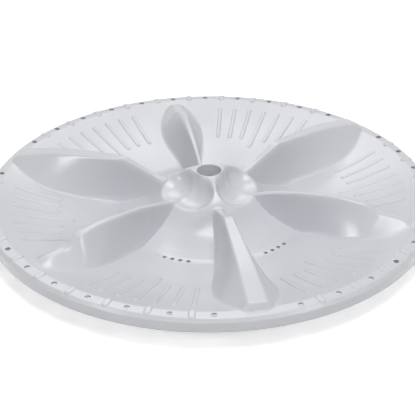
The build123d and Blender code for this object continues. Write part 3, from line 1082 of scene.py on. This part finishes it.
@dataclass(frozen=True)
class MouldedPolypropylene:
    """White polypropylene, injection moulded against a polished steel tool.

    The surface is glossy with a soft, slightly uneven sheen, and its colour drifts by a hair where
    the melt cooled more slowly. Faint turning marks of the tool lie round the foot of the hub.
    """

    name: str = "moulded_polypropylene"
    tone: str = "#D2D3D7"
    cool_tone: str = "#CDCED4"
    roughness: tuple[float, float] = (0.19, 0.262)
    ior: float = 1.49
    cloud_mm: float = 60.0     # size of the drifts in colour
    sheen_mm: float = 25.0     # size of the patches of sheen
    mark_mm: float = 3.0       # spacing of the turning marks
    mark_depth_mm: float = 0.14
    band_start_mm: tuple[float, float] = (47.0, 53.0)   # radii where the marks fade in
    band_end_mm: tuple[float, float] = (70.0, 67.0)     # and out again, read inwards

    def build(self) -> bpy.types.Material:
        """Make the material."""
        material = bpy.data.materials.new(self.name)
        tree = empty_tree(material)
        place = add_node(tree, "ShaderNodeTexCoord").outputs["Object"]

        def noise(size_mm: float, detail: float) -> bpy.types.NodeSocket:
            """A noise whose patches have a real size."""
            return add_node(tree, "ShaderNodeTexNoise", inputs={
                "Vector": place, "Scale": 1 / (size_mm * MM), "Detail": detail}).outputs["Fac"]

        colour = add_node(tree, "ShaderNodeMix", {"data_type": "RGBA"}, {
            0: noise(self.cloud_mm, 2.0), 6: linear(self.tone), 7: linear(self.cool_tone)}).outputs[2]
        rough = add_node(tree, "ShaderNodeMapRange", inputs={
            "Value": noise(self.sheen_mm, 0.0), "From Min": 0.0, "From Max": 1.0,
            "To Min": self.roughness[0], "To Max": self.roughness[1]}).outputs[0]
        shader = add_node(tree, "ShaderNodeBsdfPrincipled", inputs={
            "Base Color": colour, "Roughness": rough, "IOR": self.ior, "Normal": self.marks(tree, place)})
        add_node(tree, "ShaderNodeOutputMaterial", inputs={"Surface": shader.outputs[0]})
        return material

    def marks(self, tree: bpy.types.NodeTree, place: bpy.types.NodeSocket) -> bpy.types.NodeSocket:
        """Turning marks: fine uneven rings round the axis, in a band at the hub's foot.

        Args:
            tree: The material's nodes.
            place: Object coordinates.

        Returns:
            The bumped normal.
        """
        flat = add_node(tree, "ShaderNodeVectorMath", {"operation": "MULTIPLY"}, {0: place, 1: (1, 1, 0)})
        length = add_node(tree, "ShaderNodeVectorMath", {"operation": "LENGTH"}, {0: flat.outputs[0]})
        radius = length.outputs["Value"]

        def fade(band_mm: tuple[float, float]) -> bpy.types.NodeSocket:
            """Rise softly from 0 to 1 between two radii."""
            return add_node(tree, "ShaderNodeMapRange", {"interpolation_type": "SMOOTHSTEP"}, {
                "Value": radius, "From Min": band_mm[0] * MM, "From Max": band_mm[1] * MM}).outputs[0]

        rings = add_node(tree, "ShaderNodeTexNoise", {"noise_dimensions": "1D"}, {
            "W": radius, "Scale": 1 / (self.mark_mm * MM), "Detail": 1.0}).outputs["Fac"]
        band = calculate(tree, "MULTIPLY", fade(self.band_start_mm), fade(self.band_end_mm))
        return add_node(tree, "ShaderNodeBump", inputs={
            "Height": calculate(tree, "MULTIPLY", rings, band), "Distance": self.mark_depth_mm * MM,
            "Strength": 1.0}).outputs[0]


@dataclass(frozen=True)
class StudioPaper:
    """Matt white paper roll that the part stands on: pale, without gloss."""

    name: str = "studio_paper"
    tone: str = "#FAFAFA"
    glow: float = 0.55         # lifts the paper towards white where it is seen directly

    def build(self) -> bpy.types.Material:
        """Make the material."""
        material = bpy.data.materials.new(self.name)
        tree = empty_tree(material)
        paper = add_node(tree, "ShaderNodeBsdfDiffuse", inputs={"Color": linear(self.tone)})
        lift = calculate(tree, "MULTIPLY", seen_directly(tree), self.glow)
        glow = add_node(tree, "ShaderNodeEmission", inputs={"Strength": lift})
        both = add_node(tree, "ShaderNodeAddShader", inputs={0: paper.outputs[0], 1: glow.outputs[0]})
        add_node(tree, "ShaderNodeOutputMaterial", inputs={"Surface": both.outputs[0]})
        return material


@dataclass
class Camera:
    """The photograph's view, in a frame turned so that it looks along +Y."""

    rim_r: float               # millimetres, as lip_z
    lip_z: float
    turn: float = -10.94       # direction of that frame in the part's own, in degrees
    elevation: float = 30.364
    distance: float = 4.8733   # from the aim, in rim radii
    roll: float = -0.359
    aim: tuple[float, float] = (-0.0073, -0.1456)   # in rim radii, in the plane of the lip
    focal_px: float = 1113.0   # focal length and width of the photograph, in its pixels
    frame_px: float = 415.0
    sensor: float = 36.0       # millimetres
    clip: tuple[float, float] = (0.01, 20.0)        # metres

    def build(self) -> None:
        """Make the camera and set it on the scene."""
        rise, roll = radians(self.elevation), radians(self.roll)
        back = Vector((0.0, -cos(rise), sin(rise)))
        side = Vector((1.0, 0.0, 0.0))
        up = back.cross(side)
        right = side * cos(roll) + up * sin(roll)
        top = up * cos(roll) - side * sin(roll)
        eye = (Vector((*self.aim, 0.0)) + back * self.distance) * self.rim_r * MM
        eye.z += self.lip_z * MM
        pose = Matrix([[right[k], top[k], back[k], eye[k]] for k in range(3)] + [[0.0, 0.0, 0.0, 1.0]])
        data = bpy.data.cameras.new("camera")
        data.sensor_width = self.sensor
        data.lens = self.focal_px / self.frame_px * self.sensor
        data.clip_start, data.clip_end = self.clip
        camera = put_in_scene("camera", data)
        camera.matrix_world = Matrix.Rotation(radians(self.turn), 4, "Z") @ pose
        bpy.context.scene.camera = camera


@dataclass(frozen=True)
class Lamp:
    """One soft box: where it stands in the camera's frame, its side and its power."""

    name: str
    place: tuple[float, float, float]
    side: float
    power: float


@dataclass
class Studio:
    """Floor, soft boxes and white surroundings, in metres."""

    turn: float
    floor_side: float = 14.0
    dim: float = 0.0           # light from below and behind
    bright: float = 0.16       # light from above and the camera's side
    lean: tuple[float, float, float] = (0.08, -0.38, 0.92)
    lamps: tuple[Lamp, ...] = (
        Lamp("soft_box_above", (0.15, -0.30, 1.65), 0.9, 16.5),
        Lamp("soft_box_behind", (-0.15, 1.15, 1.32), 0.85, 5.6),
        Lamp("soft_box_left", (-1.20, -1.05, 0.87), 0.35, 5.0),
        Lamp("soft_box_right", (1.15, -1.10, 0.95), 0.35, 5.0))

    def build(self) -> None:
        """Make everything round the part."""
        half = self.floor_side / 2
        corners = [(-half, -half, 0), (half, -half, 0), (half, half, 0), (-half, half, 0)]
        mesh = bpy.data.meshes.new("studio_floor")
        mesh.from_pydata(corners, [], [(0, 1, 2, 3)])
        floor = put_in_scene("studio_floor", mesh)
        mesh.materials.append(StudioPaper().build())
        for lamp in self.lamps:
            self.light(lamp)
        self.surroundings()

    def light(self, lamp: Lamp) -> None:
        """Hang one soft box, pointed at the part."""
        data = bpy.data.lights.new(lamp.name, "AREA")
        data.shape = "SQUARE"
        data.size = lamp.side
        data.energy = lamp.power
        box = put_in_scene(lamp.name, data)
        box.location = Matrix.Rotation(radians(self.turn), 4, "Z") @ Vector(lamp.place)
        box.rotation_euler = (-box.location).to_track_quat("-Z", "Y").to_euler()

    def surroundings(self) -> None:
        """Soft light from all round, seen as plain white by the camera and in reflections."""
        world = bpy.data.worlds.new("studio")
        tree = empty_tree(world)
        lean = Matrix.Rotation(radians(self.turn), 3, "Z") @ Vector(self.lean)
        toward = add_node(tree, "ShaderNodeVectorMath", {"operation": "DOT_PRODUCT"}, {
            0: add_node(tree, "ShaderNodeTexCoord").outputs["Generated"], 1: lean}).outputs["Value"]
        level = add_node(tree, "ShaderNodeMapRange", inputs={
            "Value": toward, "From Min": -1.0, "From Max": 1.0, "To Min": self.dim,
            "To Max": self.bright}).outputs[0]
        soft = add_node(tree, "ShaderNodeBackground", inputs={"Color": (1, 1, 1, 1), "Strength": level})
        white = add_node(tree, "ShaderNodeBackground", inputs={"Color": (1, 1, 1, 1), "Strength": 1.0})
        mixed = add_node(tree, "ShaderNodeMixShader", inputs={
            0: seen_directly(tree), 1: soft.outputs[0], 2: white.outputs[0]})
        add_node(tree, "ShaderNodeOutputWorld", inputs={"Surface": mixed.outputs[0]})
        bpy.context.scene.world = world


def settle(piece: bpy.types.Object, material: bpy.types.Material) -> None:
    """Give a finished piece its material and body, and report it."""
    if not piece.data.materials:
        piece.data.materials.append(material)
    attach(piece, BODY)
    triangles = sum(len(face.vertices) - 2 for face in piece.data.polygons)
    LOG.info("%s: %d triangles", piece.name, triangles)


def tall_vane(plate: Plate) -> Vane:
    """The tall vane: it climbs along its arm to a corner and falls from there to the rim."""
    return Vane(
        VaneKind.TALL, plate,
        crest=[(33.0, 27.2, 0.0), (47.0, 31.0, 6.0), (69.5, 40.9, 2.0), (98.0, 39.7, 9.0),
               (126.0, 37.7, 9.0), (144.0, 33.9, 8.0), (160.8, 30.6, 1.2), (163.6, 24.6, 0.0)],
        foot_in=4.8, foot_out=8.6, leaf=14.6, strip_in=2.6, strip_out=6.5)


def low_vane(plate: Plate) -> Vane:
    """The low vane: a long arch with a step down to a low tail by the rim."""
    return Vane(
        VaneKind.LOW, plate,
        crest=[(31.0, 26.2, 0.0), (48.0, 31.4, 8.0), (70.0, 35.2, 10.0), (98.0, 37.0, 10.0),
               (122.5, 34.6, 4.0), (130.5, 28.0, 4.0), (150.0, 26.9, 5.0), (158.0, 23.0, 0.0)],
        foot_in=2.2, foot_out=4.6, leaf=13.2, strip_in=1.6, strip_out=3.0,
        hollow=(76.0, 129.0), release=(157.0, 161.0))


def drain_holes(plate: Plate) -> HoleRing:
    """The drain holes in the gutter: a row of four on each side of one tall vane."""
    in_row, pitch = 4, 4.8
    middles = [VaneKind.TALL.value + side * 180.0 / SECTORS for side in (-1, 1)]
    angles = [middle + (k - (in_row - 1) / 2) * pitch for middle in middles for k in range(in_row)]
    return HoleRing(1.5, plate.gutter_r, angles, margin=0.5)


def main() -> None:
    """Build the part and its studio."""
    logging.basicConfig(level=logging.INFO, format="%(message)s")
    _, high_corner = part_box(NODE)
    plate, top_z = Plate(rim_r=high_corner.x / MM), high_corner.z / MM
    rim = Rim(plate)
    vanes = {VaneKind.TALL: tall_vane(plate), VaneKind.LOW: low_vane(plate)}
    body = Moulding(plate, Hub(plate, top_z), rim, Boss(top_z), StandRing(), vanes, drain_holes(plate))
    plastic = MouldedPolypropylene().build()
    disc = body.build()
    ribs, bars, webs = DishRibs(plate), RimBars(plate, rim), Webs(body)
    for piece in [disc, *ribs.build(plastic), bars.build(plastic), *webs.build(plastic)]:
        settle(piece, plastic)
    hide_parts(NODE)
    camera = Camera(plate.rim_r, rim.lip_z)
    camera.build()
    Studio(camera.turn).build()
    bpy.context.scene.view_settings.view_transform = "Standard"


if __name__ == "__main__":
    main()
